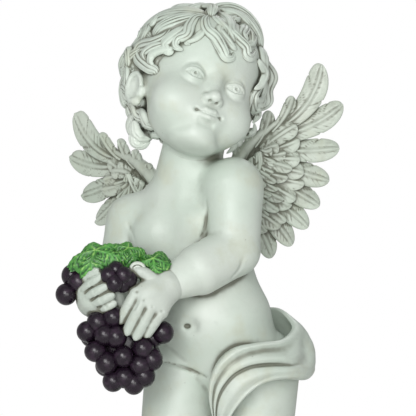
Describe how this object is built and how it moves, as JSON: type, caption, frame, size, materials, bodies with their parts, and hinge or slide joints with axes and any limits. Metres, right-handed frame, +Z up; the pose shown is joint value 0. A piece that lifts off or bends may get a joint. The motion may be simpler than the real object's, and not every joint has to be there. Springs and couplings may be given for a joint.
{
  "type": "angel garden statue",
  "caption": "Garden statue of a winged child holding a bunch of grapes and vine leaves, with a loincloth, on a low round base, cast in one.",
  "frame": {"origin": "centre of the round base's flat underside", "axes": "+Z up; the base's front and the picture's camera are on the -Y side, +X is the figure's left"},
  "size_m": [0.2849, 0.2602, 0.6214],
  "materials": {
    "cast_stone": "matt, with a grey-brown wash in the hollows",
    "grape_paint": "semi-gloss black-purple paint on the casting",
    "leaf_paint": "satin green paint on the casting"
  },
  "bodies": {
    "root": {"angel_statue": "cast_stone"}
  },
  "joints": []
}
